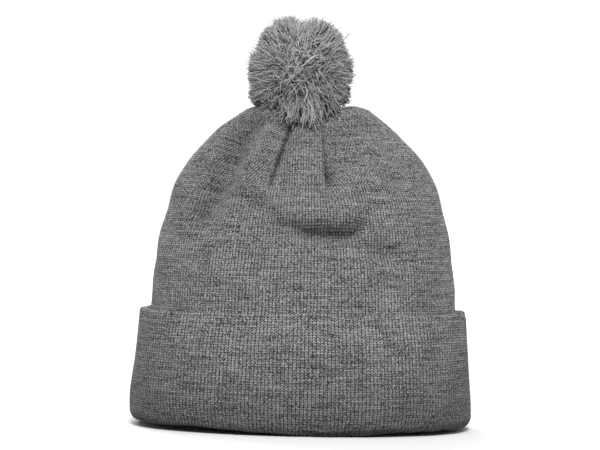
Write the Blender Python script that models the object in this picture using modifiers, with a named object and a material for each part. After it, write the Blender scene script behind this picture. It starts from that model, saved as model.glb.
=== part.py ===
"""A rib-knitted beanie with a turned-up cuff and a yarn pom pom, standing open on its hem.

Metres, +Z up, front towards -Y. The origin is on the ground under the middle of the hat.
"""

from math import acos, copysign, cos, exp, pi, sin, sqrt

import bmesh
import bpy
from mathutils import Matrix, Vector

# The knit
WALL = 0.0025  # thickness of one layer
GAP = 0.0003  # left between pieces that touch
SEAM_GAP = 0.0006  # the same beside the crown, whose facets cut its curves short
PLAN_POWER = 2.3  # 2 is an ellipse; more is squarer
SEGMENTS = 60  # facets around the hat

# Outer half width and half depth of the turned-up cuff, and its height
CUFF_HEIGHT = 0.0765
HEM_HALF = (0.1128, 0.0830)
CUFF_TOP_HALF = (0.1074, 0.0775)

# The crown: its outer half width and half depth where the dome starts, and the dome's heights
DOME_HALF = (0.1000, 0.0720)
WIDTH_POWER = 2.2  # how squarely the dome closes in, seen from the front
DEPTH_POWER = 1.7  # and seen from the side, where a root rounds it off
DEPTH_ROOT = 0.55
DOME_FOOT = 0.081
DOME_APEX = 0.218  # where the side lines would meet
DOME_RIM = 0.2075  # where the dome turns over into the gathered top
TOP_RISE = 0.002  # from the rim to the middle
DIMPLE_DEPTH = 0.007  # how far the tie pulls the middle down
DIMPLE_RADIUS = 0.020
GATHER_HOLE = 0.0026
LOWER_RINGS = 5  # rings of points up to the dome, along it, and over the gathered top
DOME_RINGS = 11
TOP_RINGS = 6

# Seams and sewing yarn
SEAM_RADIUS = 0.0015
CUFF_SEAM_RADIUS = 0.0005
BACK_SEAM_ENDS = (0.03, 0.78)  # where it starts and ends, in the crown's parameter
CUFF_SEAM_ENDS = (0.60, 0.97)  # the same in shares of the cuff's height
DART_TOP_X = 0.0095  # half the distance between two darts at the shoulder of the crown
DART_FOOT_X = 0.0190  # and at their lower ends
DART_FOOT_HEIGHT = 0.155
DART_HEAD = 0.90  # where a dart ends, in the crown's parameter
DART_CLOSING = 1.4  # a dart reaches DART_TOP_X in 1 / this of its length
DART_WIDEST = 0.75  # of the crown's half width, which narrows faster than the darts
GATHER_RADIUS = 0.0050
GATHER_THREAD = 0.0007
GATHER_PLACE = 0.97  # in the crown's parameter

# The tie: PIVOT is where its wound shank ends and the yarn bends
PIVOT = Vector((0.0, 0.0, 0.2075))
TIE_RADIUS = 0.0015
LOOP_RADIUS = 0.0032
KNOT_SCALE = 0.0018
KNOT_YARN = 0.0010
KNOT_DROP = 0.0075  # from the inner face of the gathered top down to the knot's middle
TAIL_LENGTH = 0.022
TAIL_APART = 0.0018  # how far a tail hangs from the middle at its head, and how far it spreads
TAIL_SPREAD = 0.006
TAIL_SWING = 0.002

# The pom pom, around a waist where its yarn is bound
POM_HALF_WIDTH = 0.0345
POM_HALF_HEIGHT = 0.0380
POM_CENTRE = 0.2325
POM_UNDERSIDE = 0.0048  # above the pivot, at the middle
POM_UNDERSIDE_SLOPE = 0.42
POM_FLAT = 0.006
WAIST_RADIUS = 0.0060
BINDING_YARN = 0.0007
BINDING_SPREAD = 0.00085  # the two turns lie this far from their common middle
PARTING = 0.0038  # width of the parting that the binding lies in

DOME_RIM_T = (DOME_RIM - DOME_FOOT) / (DOME_APEX - DOME_FOOT)
FOLD_INSET = WALL + 2 * GAP  # from the cuff's outer face to the crown's, at the fold
FOLD_TOP = 0.0044  # where the fold's inner side ends
BODY_FOOT = FOLD_TOP + 3 * GAP  # the crown's lower edge, which slants
U_DOME = 0.30  # the crown's parameter where the dome starts, and where its top starts
U_TOP = 0.80


def mix(start, end, share):
    return start + (end - start) * share


def shares(steps):
    """From 0 to 1 in even steps."""
    return [k / steps for k in range(steps + 1)]


def plan(half_width, half_depth, angle):
    """A point on a rounded oblong. At -90 degrees it's the middle of the front."""
    c, s = cos(angle), sin(angle)
    power = 2 / PLAN_POWER
    return (
        copysign(half_width * abs(c) ** power, c),
        copysign(half_depth * abs(s) ** power, s),
    )


def crown_section(u):
    """Half width, half depth and height of the crown's outer face, from its foot (0) to the gather (1)."""
    if u < U_DOME:
        share = u / U_DOME
        wide = mix(HEM_HALF[0] - FOLD_INSET, DOME_HALF[0], share)
        deep = mix(HEM_HALF[1] - FOLD_INSET, DOME_HALF[1], share)
        return wide, deep, mix(BODY_FOOT, DOME_FOOT, share)
    if u < U_TOP:
        t = DOME_RIM_T * sin(pi / 2 * (u - U_DOME) / (U_TOP - U_DOME))
    else:
        t = DOME_RIM_T
    wide = DOME_HALF[0] * sqrt(1 - t**WIDTH_POWER)
    deep = DOME_HALF[1] * (1 - t**DEPTH_POWER) ** DEPTH_ROOT
    height = mix(DOME_FOOT, DOME_APEX, t)
    if u > U_TOP:
        scale = mix(1, GATHER_HOLE / wide, (u - U_TOP) / (1 - U_TOP))
        height += TOP_RISE * (1 - scale**2)
        deep = mix(GATHER_HOLE, deep, (scale * wide - GATHER_HOLE) / (wide - GATHER_HOLE))
        wide *= scale
    return wide, deep, height


def crown_point(u, angle):
    """A point on the crown's outer face, with the middle of the top pulled down into a dimple."""
    wide, deep, height = crown_section(u)
    x, y = plan(wide, deep, angle)
    dimple = DIMPLE_DEPTH * exp(-(x * x + y * y) / DIMPLE_RADIUS**2)
    return Vector((x, y, height - dimple))


def inside_crown(u, angle, depth):
    """A point this far under the crown's outer face."""
    step = 0.002
    low, high = max(u - step, 0.0), min(u + step, 1.0)
    up = crown_point(high, angle) - crown_point(low, angle)
    around = crown_point(u, angle + step) - crown_point(u, angle - step)
    outwards = around.cross(up).normalized()
    return crown_point(u, angle) - outwards * depth


def angle_at_x(u, x, side):
    """The angle at which the crown's plan reaches x, on its front (-1) or back (1)."""
    wide = crown_section(u)[0]
    share = min(abs(x) / wide, 1.0) ** (PLAN_POWER / 2)
    return side * acos(copysign(share, x))


def material(name, colour, roughness):
    made = bpy.data.materials.new(name)
    made.use_nodes = True
    shader = made.node_tree.nodes["Principled BSDF"]
    shader.inputs["Base Color"].default_value = (*colour, 1)
    shader.inputs["Roughness"].default_value = roughness
    shader.inputs["Metallic"].default_value = 0.0
    return made


def placed(name, data, look, origin=Vector((0, 0, 0))):
    """Puts data in the scene as a part, with its origin where it's asked for."""
    part = bpy.data.objects.new(name, data)
    part.location = origin
    data.materials.append(look)
    PARTS.objects.link(part)
    return part


def mesh_from(build, name):
    mesh = bpy.data.meshes.new(name)
    build.to_mesh(mesh)
    build.free()
    mesh.shade_smooth()
    return mesh


def sheet_of_rings(name, rings):
    """An open sheet between closed rings that have the same number of points."""
    build = bmesh.new()
    loops = [[build.verts.new(point) for point in ring] for ring in rings]
    for lower, upper in zip(loops, loops[1:]):
        for k in range(len(lower)):
            after = (k + 1) % len(lower)
            build.faces.new((lower[k], lower[after], upper[after], upper[k]))
    return mesh_from(build, name)


def thicken(part, offset):
    """Gives an open sheet the knit's thickness: 0 on both sides of it, -1 inwards."""
    solid = part.modifiers.new("knit_thickness", "SOLIDIFY")
    solid.thickness = WALL
    solid.offset = offset
    solid.use_even_offset = True


def yarn(name, points, radius, look, closed=False, origin=Vector((0, 0, 0))):
    """A round yarn or seam along points given in world space."""
    curve = bpy.data.curves.new(name, "CURVE")
    curve.dimensions = "3D"
    curve.bevel_depth = radius
    curve.bevel_resolution = 2
    curve.use_fill_caps = not closed
    line = curve.splines.new("POLY")
    line.points.add(len(points) - 1)
    for spot, point in zip(line.points, points):
        spot.co = (*(Vector(point) - origin), 1)
    line.use_cyclic_u = closed
    return placed(name, curve, look, origin)


def turns(steps):
    """Angles all the way around, in even steps."""
    return [2 * pi * k / steps for k in range(steps)]


def make_crown(look):
    lower = [mix(0, U_DOME, share) for share in shares(LOWER_RINGS)[:-1]]
    dome = [mix(U_DOME, U_TOP, share) for share in shares(DOME_RINGS)[:-1]]
    top = [mix(U_TOP, 1, share) for share in shares(TOP_RINGS)]
    rings = [[crown_point(u, angle) for angle in turns(SEGMENTS)] for u in lower + dome + top]
    part = placed("knit_crown", sheet_of_rings("knit_crown", rings), look)
    thicken(part, -1)


def cuff_sections():
    """The cuff's middle line, from its free top edge down and through the fold at the hem."""
    half_wall = WALL / 2
    for share in reversed(shares(4)):
        wide = mix(HEM_HALF[0], CUFF_TOP_HALF[0], share)
        deep = mix(HEM_HALF[1], CUFF_TOP_HALF[1], share)
        height = mix(half_wall, CUFF_HEIGHT, share)
        yield wide - half_wall, deep - half_wall, height
    inner = half_wall + FOLD_INSET
    yield HEM_HALF[0] - inner, HEM_HALF[1] - inner, half_wall
    yield HEM_HALF[0] - inner, HEM_HALF[1] - inner, FOLD_TOP


def make_cuff(look):
    rings = []
    for wide, deep, height in cuff_sections():
        rings.append([(*plan(wide, deep, angle), height) for angle in turns(SEGMENTS)])
    part = placed("turn_up_cuff", sheet_of_rings("turn_up_cuff", rings), look)
    thicken(part, 0)


def make_back_seam(look):
    depth = WALL + SEAM_GAP + SEAM_RADIUS
    path = [inside_crown(mix(*BACK_SEAM_ENDS, share), pi / 2, depth) for share in shares(22)]
    yarn("back_seam", path, SEAM_RADIUS, look)


def make_cuff_seam(look):
    """The same seam on the turned-up part, on the face that lies against the crown."""
    inset = WALL + GAP + CUFF_SEAM_RADIUS
    path = []
    for share in shares(8):
        height = mix(*CUFF_SEAM_ENDS, share)
        deep = mix(HEM_HALF[1], CUFF_TOP_HALF[1], height)
        path.append((0, deep - inset, CUFF_HEIGHT * height))
    yarn("cuff_seam", path, CUFF_SEAM_RADIUS, look)


def u_at_height(height):
    """The crown's parameter at a height on the dome, found by halving."""
    low, high = U_DOME, U_TOP
    for _ in range(30):
        middle = (low + high) / 2
        if crown_section(middle)[2] < height:
            low = middle
        else:
            high = middle
    return low


def make_dart_seams(look):
    """Four ridges under the crown where it's pinched in, from the shoulder towards the gathered top."""
    depth = WALL + SEAM_GAP + SEAM_RADIUS
    foot = u_at_height(DART_FOOT_HEIGHT)
    for place, side in (("front", -1), ("back", 1)):
        for hand, sign in (("left", -1), ("right", 1)):
            path = []
            for share in shares(16):
                u = mix(foot, DART_HEAD, share)
                x = mix(DART_FOOT_X, DART_TOP_X, min(1, share * DART_CLOSING))
                x = min(x, crown_section(u)[0] * DART_WIDEST)
                path.append(inside_crown(u, angle_at_x(u, sign * x, side), depth))
            yarn(f"dart_seam_{place}_{hand}", path, SEAM_RADIUS, look)


def make_gather_thread(look):
    depth = WALL + GAP + GATHER_THREAD
    angles = turns(24)
    lowest = min(inside_crown(GATHER_PLACE, angle, depth).z for angle in angles)
    path = [(GATHER_RADIUS * cos(angle), GATHER_RADIUS * sin(angle), lowest) for angle in angles]
    yarn("gather_thread", path, GATHER_THREAD, look, closed=True)


def make_knot(look):
    """A trefoil drawn up under the gathered top."""
    path = []
    for t in turns(60):
        reach = (2 + cos(3 * t)) * KNOT_SCALE
        path.append(Vector((reach * cos(2 * t), reach * sin(2 * t), sin(3 * t) * KNOT_SCALE)))
    middle = Vector((0, 0, KNOT_HEIGHT))
    yarn("tie_knot", [middle + point for point in path], KNOT_YARN, look, closed=True)


def make_tails(look):
    """The two cut ends of the tie, hanging under the knot."""
    start = KNOT_HEIGHT - KNOT_SCALE - KNOT_YARN * 2 - GAP
    for hand, sign in (("left", -1), ("right", 1)):
        path = []
        for share in shares(8):
            out = TAIL_APART + TAIL_SPREAD * share**1.5
            swing = TAIL_SWING * sin(pi * share)
            path.append((sign * out, sign * swing, start - TAIL_LENGTH * share))
        yarn(f"tie_tail_{hand}", path, KNOT_YARN, look)


def make_shank(look):
    """The tie inside the gathered top and just above it, wound stiff."""
    foot = KNOT_HEIGHT + KNOT_SCALE + KNOT_YARN * 2 + GAP
    head = PIVOT.z - LOOP_RADIUS - GAP
    path = [(0, 0, mix(foot, head, share)) for share in shares(4)]
    yarn("tie_shank", path, TIE_RADIUS, look)


def make_loop(look):
    """The bend of the yarn between the shank and the pom pom."""
    build = bmesh.new()
    bmesh.ops.create_uvsphere(build, u_segments=16, v_segments=10, radius=LOOP_RADIUS)
    placed("tie_loop", mesh_from(build, "tie_loop"), look, PIVOT)


def make_tie_yarn(look):
    foot = PIVOT.z + LOOP_RADIUS + GAP
    head = POM_CENTRE - WAIST_RADIUS - GAP * 2 - 2 * (BINDING_YARN + BINDING_SPREAD)
    path = [(0, 0, mix(foot, head, share)) for share in shares(3)]
    yarn("tie_yarn", path, TIE_RADIUS, look, origin=PIVOT)


def make_binding(look):
    """One closed yarn that goes twice around the waist of the pom pom."""
    reach = WAIST_RADIUS + GAP + BINDING_YARN + BINDING_SPREAD
    path = []
    for turn in turns(48):
        out = reach + BINDING_SPREAD * cos(turn)
        height = POM_CENTRE + out * cos(2 * turn)
        path.append((BINDING_SPREAD * sin(turn), out * sin(2 * turn), height))
    yarn("pom_binding", path, BINDING_YARN, look, closed=True, origin=PIVOT)


def pom_outline():
    """The ball's outer side from its top to its underside, which is a shallow cone so that it can tip."""
    centre = POM_CENTRE - PIVOT.z
    points = []
    for share in shares(24):
        angle = pi * share
        radius = POM_HALF_WIDTH * sin(angle)
        height = centre + POM_HALF_HEIGHT * cos(angle)
        floor = POM_UNDERSIDE + POM_UNDERSIDE_SLOPE * max(0, radius - POM_FLAT)
        if height < floor:
            break
        points.append((radius, height))
    rim = points[-1][0]
    floor_there = POM_UNDERSIDE + POM_UNDERSIDE_SLOPE * (rim - POM_FLAT)
    points[-1] = (rim, floor_there)
    return [*points, (POM_FLAT, POM_UNDERSIDE), (0, POM_UNDERSIDE)]


def turned(name, outline, closed, steps=40):
    """A mesh object of an outline that a Screw turns about its own Z axis."""
    mesh = bpy.data.meshes.new(name)
    ends = range(len(outline) if closed else len(outline) - 1)
    edges = [(k, (k + 1) % len(outline)) for k in ends]
    mesh.from_pydata([(r, 0, z) for r, z in outline], edges, [])
    part = bpy.data.objects.new(name, mesh)
    screw = part.modifiers.new("turn", "SCREW")
    screw.steps = steps
    screw.render_steps = steps
    screw.use_merge_vertices = True
    screw.merge_threshold = 0.00001
    screw.use_smooth_shade = True
    return part


def make_pom(look):
    part = turned("pom_yarn", pom_outline(), False)
    part.location = PIVOT
    part.data.materials.append(look)
    PARTS.objects.link(part)
    half = PARTING / 2
    far = POM_HALF_HEIGHT * 1.5  # well clear of the ball
    ring = [(far, half), (far, -half), (WAIST_RADIUS, -half), (WAIST_RADIUS, half)]
    cutter = turned("parting_cutter", ring, True)
    cutter.matrix_world = Matrix.Translation((0, 0, POM_CENTRE)) @ Matrix.Rotation(pi / 2, 4, "Y")
    cutter.hide_render = True
    cutter.display_type = "WIRE"
    CUTTERS.objects.link(cutter)
    cut = part.modifiers.new("parting", "BOOLEAN")
    cut.operation = "DIFFERENCE"
    cut.object = cutter


for old in list(bpy.data.objects):
    bpy.data.objects.remove(old)
PARTS = bpy.data.collections.new("pom_pom_beanie")
CUTTERS = bpy.data.collections.new("cutters")
bpy.context.scene.collection.children.link(PARTS)
bpy.context.scene.collection.children.link(CUTTERS)

KNOT_HEIGHT = crown_point(1, 0).z - WALL - KNOT_DROP

knit = material("heather_knit", (0.19, 0.19, 0.195), 0.95)
sewing = material("sewing_thread", (0.12, 0.12, 0.125), 0.8)
tie = material("tie_yarn", (0.2, 0.2, 0.2), 0.9)
tuft = material("pom_yarn", (0.23, 0.225, 0.22), 0.95)

make_crown(knit)
make_cuff(knit)
make_back_seam(sewing)
make_cuff_seam(sewing)
make_dart_seams(sewing)
make_gather_thread(sewing)
make_knot(tie)
make_tails(tie)
make_shank(tie)
make_loop(tie)
make_tie_yarn(tie)
make_binding(tie)
make_pom(tuft)
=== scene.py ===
"""Looks for the pom pom beanie: rib knit with its stitches in relief, and a pom pom of strands.

Metres, in the CAD's frame: +Z up, the front towards -Y, standing on its hem at z = 0.
"""

from math import cos, pi, radians, sin

import bpy
import numpy as np
from mathutils import Matrix, Vector


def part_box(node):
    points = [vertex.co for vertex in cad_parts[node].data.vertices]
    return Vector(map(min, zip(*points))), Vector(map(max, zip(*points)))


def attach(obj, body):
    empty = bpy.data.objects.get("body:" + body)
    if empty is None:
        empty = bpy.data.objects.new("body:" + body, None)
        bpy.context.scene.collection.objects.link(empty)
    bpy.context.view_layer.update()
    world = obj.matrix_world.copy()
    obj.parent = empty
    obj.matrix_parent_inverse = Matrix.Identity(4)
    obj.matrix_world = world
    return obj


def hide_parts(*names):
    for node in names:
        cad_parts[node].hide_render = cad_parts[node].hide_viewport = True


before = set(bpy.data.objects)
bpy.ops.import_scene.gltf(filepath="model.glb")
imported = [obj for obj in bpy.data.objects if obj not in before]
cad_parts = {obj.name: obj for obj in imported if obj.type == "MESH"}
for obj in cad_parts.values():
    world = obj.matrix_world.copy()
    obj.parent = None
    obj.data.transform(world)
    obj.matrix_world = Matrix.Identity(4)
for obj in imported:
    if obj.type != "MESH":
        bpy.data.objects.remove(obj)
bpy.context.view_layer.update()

# The hat's shape, as the CAD has it
WALL = 0.0025
PLAN_POWER = 2.3
WIDTH_POWER = 2.2
DEPTH_POWER = 1.7
DEPTH_ROOT = 0.55
DOME_HALF = (0.1000, 0.0720)
DOME_FOOT = 0.081
DOME_APEX = 0.218
DOME_RIM = 0.2075
TOP_RISE = 0.002
DIMPLE_DEPTH = 0.007
DIMPLE_RADIUS = 0.020
GATHER_HOLE = 0.0026
CUFF_TOP_HALF = (0.1074, 0.0775)
FOLD_INSET = 0.0031
BODY_FOOT = 0.0053
DOME_RIM_T = (DOME_RIM - DOME_FOOT) / (DOME_APEX - DOME_FOOT)
U_DOME = 0.30  # the crown's parameter u where its dome starts
U_TOP = 0.80  # and where its nearly flat top starts

cuff_low, cuff_high = (np.array(corner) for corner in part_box("turn_up_cuff"))
HEM_HALF = (cuff_high[:2] - cuff_low[:2]) / 2
CUFF_HEIGHT = cuff_high[2]

# The knit: width of one wale and height of one course, and how finely each is modelled
BODY_WALE = 0.0021
BODY_COURSE = 0.0015
CUFF_WALE = 0.00245
CUFF_COURSE = 0.00165
COLUMNS_PER_WALE = 4
ROWS_PER_COURSE = 3
RIB_HEIGHT = 0.00044
STITCH_HEIGHT = 0.00006
RIB_ROUNDNESS = 2.4
UNEVENNESS = 0.00003  # how far the knit's face is off at random
LEG_SLANT = 0.5  # courses that a stitch's leg climbs from the wale's middle to its side
PITCH_HEIGHT = 0.112  # the wales are as wide as BODY_WALE here, and closer together above
BODY_START = 0.066  # the modelled outer face of the crown starts here, behind the cuff
SIDE_SPREADING = 0.06  # how much wider the wales of a side panel get above the darts' feet
MIDDLE_NARROWING = 0.08  # and how much narrower those of a middle panel
SLIVER = 0.02  # a column nearer than this to its panel's end, in wales, is left out

# Where each piece starts in the endless pattern of stitch tones
MIDDLE_PATTERN = 40
SIDE_PATTERN = 300
CUFF_PATTERN = (4000, 40)  # wales, courses
INSIDE_PATTERN = 9000
INSIDE_WALES = 260
INSIDE_COURSES = 150

# The four darts: x at the pom pom and at the foot, then the depth of the sharp line, of the soft dip
# around it, and of the step where the outer panel laps over it
DART_FOOT_HEIGHT = 0.155
DART_HEAD_HEIGHT = 0.200
DARTS = {
    ("front", -1): (0.0095, 0.0243, 0.0040, 0.0018, 0.0004),
    ("front", 1): (0.0092, 0.0138, 0.0018, 0.0012, 0.0022),
    ("back", -1): (0.0090, 0.0190, 0.0036, 0.0018, 0.0010),
    ("back", 1): (0.0095, 0.0190, 0.0036, 0.0018, 0.0010),
}
DART_LIMIT = 0.62  # where the crown is narrow, a dart lies at this share of its half width

# Soft valleys down from the pom pom: hand, depth, z of its end, x at its foot and at its head
VALLEY_FOOT_HEIGHT = 0.142
VALLEY_RISE = 0.060
FRONT_VALLEYS = (
    (-1, 0.0072, 0.116, 0.064, 0.034),
    (1, 0.0012, 0.150, 0.040, 0.022),
)
# Swellings in front, or hollows below zero: x, z, spread in x and in z, height
FRONT_SWELLINGS = (
    (0.038, 0.162, 0.014, 0.020, 0.0034),  # beside the foot of the right dart
    (-0.062, 0.141, 0.014, 0.0070, -0.0020),  # beyond the left end of the crease
)
# Painted shade in front, or painted highlight below zero: x, z, spread in x and in z, tone
PAINTED_FRONT_SHADING = (
    (0.050, 0.1145, 0.016, 0.0085, 0.15),  # painted shade in the hollow beyond the right end of the crease
    (0.037, 0.168, 0.013, 0.017, -0.17),  # painted highlight beside the right dart
)
# Fullness of the left and the right side: z, spread in z, x where it starts and where it is whole
SIDE_FULLNESS = (
    (0.0002, 0.0012, 0.166, 0.022, 0.050, 0.080),
    (0.0024, 0.0010, 0.177, 0.009, 0.045, 0.062),
    (0.0, -0.0011, 0.097, 0.009, 0.085, 0.097),
    (-0.0011, -0.0011, 0.125, 0.030, 0.070, 0.090),
)
PLEATS = 26  # fine pleats around the gathered top
PLEAT_HEIGHT = 0.0006

# The hem: from which height the cloth curves in towards its fold, and how far
TUCK_HEIGHT = 0.026
TUCK_SIDE = 0.0012
TUCK_FACE = 0.0050
CORNER_HEIGHT = 0.008
CORNER_TUCK = 0.0034
HEM_LIFT_HEIGHT = 0.062  # below this the cuff's courses are pushed up where the hem rides up
HEM_LIFT_LEFT = 0.0031
HEM_LIFT_RIGHT = 0.0024

TINY = 1e-12  # keeps a division by a length from failing

rng = np.random.default_rng(11)


def mix(start, end, share):
    return start + (end - start) * share


def smooth(value, low, high):
    """0 up to low, 1 from high on, and an even rise between."""
    t = np.clip((value - low) / (high - low), 0, 1)
    return t * t * (3 - 2 * t)


def bump(value, middle, spread):
    """1 at the middle, dying away to both sides of it."""
    return np.exp(-(((value - middle) / spread) ** 2))


def fade(height, top):
    """1 at the ground, dying away to 0 at the top."""
    return np.clip(1 - height / top, 0, 1) ** 2


def drift(values, seed, wave):
    """A slow random wave of unit size, the same each run."""
    source = np.random.default_rng(seed)
    total = np.zeros_like(values)
    for k in range(4):
        total += np.sin(values * (2 * pi / wave) * (0.6 + 0.45 * k) + source.uniform(0, 2 * pi))
    return total / 2.8


def unit_rows(rows):
    """Vectors drawn out or in to length 1."""
    return rows / np.maximum(np.linalg.norm(rows, axis=-1, keepdims=True), TINY)


# ---- the hat's surface


def plan(wide, deep, angle):
    """A point of a rounded outline seen from above, between an ellipse and a box."""
    c, s = np.cos(angle), np.sin(angle)
    power = 2 / PLAN_POWER
    return wide * np.sign(c) * np.abs(c) ** power, deep * np.sign(s) * np.abs(s) ** power


def crown_section(u):
    """Half width, half depth and height of the crown's outer face at u: 0 is the hem, 1 the gather."""
    u = np.asarray(u, float)
    low = np.clip(u / U_DOME, 0, 1)
    t = DOME_RIM_T * np.sin(pi / 2 * np.clip((u - U_DOME) / (U_TOP - U_DOME), 0, 1))
    dome_wide = DOME_HALF[0] * np.sqrt(1 - t**WIDTH_POWER)
    dome_deep = DOME_HALF[1] * (1 - t**DEPTH_POWER) ** DEPTH_ROOT
    rim_wide = DOME_HALF[0] * np.sqrt(1 - DOME_RIM_T**WIDTH_POWER)
    scale = mix(1, GATHER_HOLE / rim_wide, np.clip((u - U_TOP) / (1 - U_TOP), 0, 1))
    share = (scale * rim_wide - GATHER_HOLE) / (rim_wide - GATHER_HOLE)
    top_deep = mix(GATHER_HOLE, dome_deep, share)
    below = u < U_DOME
    wide = np.where(below, mix(HEM_HALF[0] - FOLD_INSET, DOME_HALF[0], low), dome_wide * scale)
    deep = np.where(below, mix(HEM_HALF[1] - FOLD_INSET, DOME_HALF[1], low), top_deep)
    height = np.where(below, mix(BODY_FOOT, DOME_FOOT, low), mix(DOME_FOOT, DOME_APEX, t))
    return wide, deep, height + TOP_RISE * (1 - scale**2)


def dimple(x, y):
    """How far the gather draws the top down."""
    return DIMPLE_DEPTH * np.exp(-(x * x + y * y) / DIMPLE_RADIUS**2)


def dart_x(place, hand, height, wide):
    """How far from the middle a dart lies, where the crown's half width is wide."""
    head, foot = DARTS[place, hand][:2]
    share = np.clip((height - DART_FOOT_HEIGHT) / (DART_HEAD_HEIGHT - DART_FOOT_HEIGHT), 0, 1)
    return np.minimum(mix(foot, head, share), wide * DART_LIMIT)


def darts_near(x, y, z):
    """For each dart: its place and hand, the distance outwards from it, and how much of it is here."""
    front = smooth(-y, -0.012, 0.012)
    length = smooth(z, DART_FOOT_HEIGHT - 0.003, DART_FOOT_HEIGHT + 0.009)
    for place, hand in DARTS:
        here = front if place == "front" else 1 - front
        yield place, hand, x * hand - dart_x(place, hand, z, np.inf), here * length


def dart_groove(place, hand, away, z):
    """How deep the cloth dips at a distance outwards from a dart."""
    sharp, soft, lap = DARTS[place, hand][2:]
    groove = sharp * np.exp(-np.abs(away) / 0.0015) + soft * bump(away, 0, 0.009)
    step = smooth(away, -0.0005, 0.0010) * np.exp(-np.maximum(away, 0) / 0.006)
    return groove + lap * smooth(-z, -0.188, -0.168) * step


def front_crease(x, z):
    """Height above the smiling crease across the front, and how strong it is here."""
    lowest_x, lowest_z = 0.020, 0.1275
    bend = 4.4
    hook_x, hook = 0.028, 45  # its right end turns up more sharply
    line = lowest_z + bend * (x - lowest_x) ** 2 + hook * np.maximum(x - hook_x, 0) ** 2
    left_end = mix(0.35, 1.0, smooth(x, -0.020, 0.004)) * smooth(x, -0.030, -0.016)
    right_end = smooth(-x, -0.044, -0.027)
    return z - line, left_end * right_end


def crease_tail(x, z):
    """Height above the soft fold that carries on from the crease, up to the left, and how strong it is."""
    start_x, start_z, slope = -0.0210, 0.1424, 0.50
    return z - (start_z + slope * (start_x - x)), smooth(x, -0.047, -0.034) * smooth(-x, 0.012, 0.024)


def valley_x(foot_x, head_x, z):
    """How far from the middle a soft valley lies, from its foot up to the pom pom."""
    return mix(foot_x, head_x, np.clip((z - VALLEY_FOOT_HEIGHT) / VALLEY_RISE, 0, 1))


def spots(x, z, table):
    """The sum of a table's soft round spots."""
    return sum(high * bump(x, at_x, wide) * bump(z, at_z, tall) for at_x, at_z, wide, tall, high in table)


def painted_fold_shading(x, y, z):
    """How much painted shade darkens the cloth's pinches, crease and hollows, up to 1; below zero a painted
    highlight lightens it.
    """
    dark = np.zeros_like(z)
    # Painted shade along each dart's pinch, and beside the right dart a painted shadow under its lap
    for place, hand, away, here in darts_near(x, y, z):
        pinched = mix(0.35, 0.88, bump(z, 0.178, 0.014))
        if (place, hand) == ("front", 1):
            pinched = mix(0.12, 0.62, bump(z, 0.165, 0.012))
            dark += here * 0.40 * bump(away, 0.0022, 0.0028) * bump(z, 0.163, 0.011)
        dark += here * pinched * bump(away, 0, 0.0011)
    front = smooth(-y, 0, 0.012)
    # Painted shade under the crease's belly and along its tail
    above, strength = front_crease(x, z)
    dark += 0.20 * front * strength * bump(above, -0.0005, 0.0040)
    above, strength = crease_tail(x, z)
    dark += 0.09 * front * strength * bump(above, -0.0020, 0.0050)
    dark += front * spots(x, z, PAINTED_FRONT_SHADING)
    # Painted shade in the wide hollow on the left shoulder
    dark += 0.28 * front * bump(x, -valley_x(0.067, 0.036, z), 0.0108) * smooth(z, 0.120, 0.142)
    return np.clip(dark, -0.3, 1)


def front_folds(x, z):
    """The front's soft valleys, and its fold: a belly over a smiling crease, with a tail up to the left."""
    out = np.zeros_like(z)
    for hand, depth, end_z, foot_x, head_x in FRONT_VALLEYS:
        middle = valley_x(foot_x, head_x, z)
        ridge = 0.42 * bump(x * hand, middle - 0.0145, 0.0050)
        out -= depth * (bump(x * hand, middle, 0.0085) - ridge) * smooth(z, end_z, end_z + 0.030)
    above, strength = front_crease(x, z)
    out += strength * 0.0070 * bump(above, 0.0120, 0.0090)
    out -= strength * 0.0080 * bump(above, -0.0005, 0.0042)
    above, strength = crease_tail(x, z)
    out += strength * 0.0018 * bump(above, 0.0065, 0.0050)
    out -= strength * 0.0022 * bump(above, -0.0020, 0.0045)
    # The crease dies away to the right in a slanting hollow
    hollow_x, hollow_z, slope = 0.047, 0.1160, 0.20
    out -= 0.0034 * bump(x, hollow_x, 0.016) * bump(z, hollow_z - slope * (x - hollow_x), 0.0068)
    return out + spots(x, z, FRONT_SWELLINGS)


def back_folds(x, z):
    """Looser folds at the back: a low belly over a wide crease."""
    crease = 0.132 + 4.0 * (x + 0.015) ** 2
    belly = 0.0030 * bump(x, -0.01, 0.045) * bump(z, crease + 0.015, 0.013)
    return belly - 0.0022 * bump(x, -0.01, 0.035) * bump(z, crease, 0.005)


def folds(x, y, z):
    """How far the cloth stands out of (or, below zero, falls into) its smooth shape."""
    front = smooth(-y, -0.012, 0.012)
    out = 0.0011 * drift(x + 0.7 * z, 3, 0.085) * smooth(z, 0.08, 0.10)
    out += 0.0009 * drift(z - 0.5 * y, 4, 0.060) * smooth(z, 0.08, 0.10)
    for place, hand, away, here in darts_near(x, y, z):
        out -= here * dart_groove(place, hand, away, z)
    out += front * front_folds(x, z) + (1 - front) * back_folds(x, z)
    pleats = np.sin(PLEATS * np.arctan2(y * 1.5, x) + 2 * drift(x + y, 5, 0.03))
    out += PLEAT_HEIGHT * pleats * smooth(z, 0.186, 0.204)
    # Under the pom pom the cloth is nearly smooth
    out = out * mix(0.2, 1.0, smooth(-z, -0.214, -0.190))
    # In front the crown swells over the cuff's free edge
    out += 0.0021 * bump(z, 0.081, 0.015) * smooth(-y, 0.045, 0.070)
    for left, right, height, tall, start, whole in SIDE_FULLNESS:
        out += mix(left, right, x > 0) * bump(z, height, tall) * smooth(np.abs(x), start, whole)
    return out + puff(x, z)


def puff(x, z):
    """The gathers stand up at both sides of the pom pom."""
    return np.where(x < 0, 0.0042, 0.0032) * bump(np.abs(x), 0.029, 0.011) * smooth(z, 0.197, 0.206)


def tuck(y, z):
    """How far the cloth curves in above its fold at the hem: in front and behind, less at the sides."""
    face = smooth(np.abs(y), 0.02, 0.07)
    corner = CORNER_TUCK * (1 - face) * fade(z, CORNER_HEIGHT)
    return mix(TUCK_SIDE, TUCK_FACE, face) * fade(z, TUCK_HEIGHT) + corner


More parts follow.
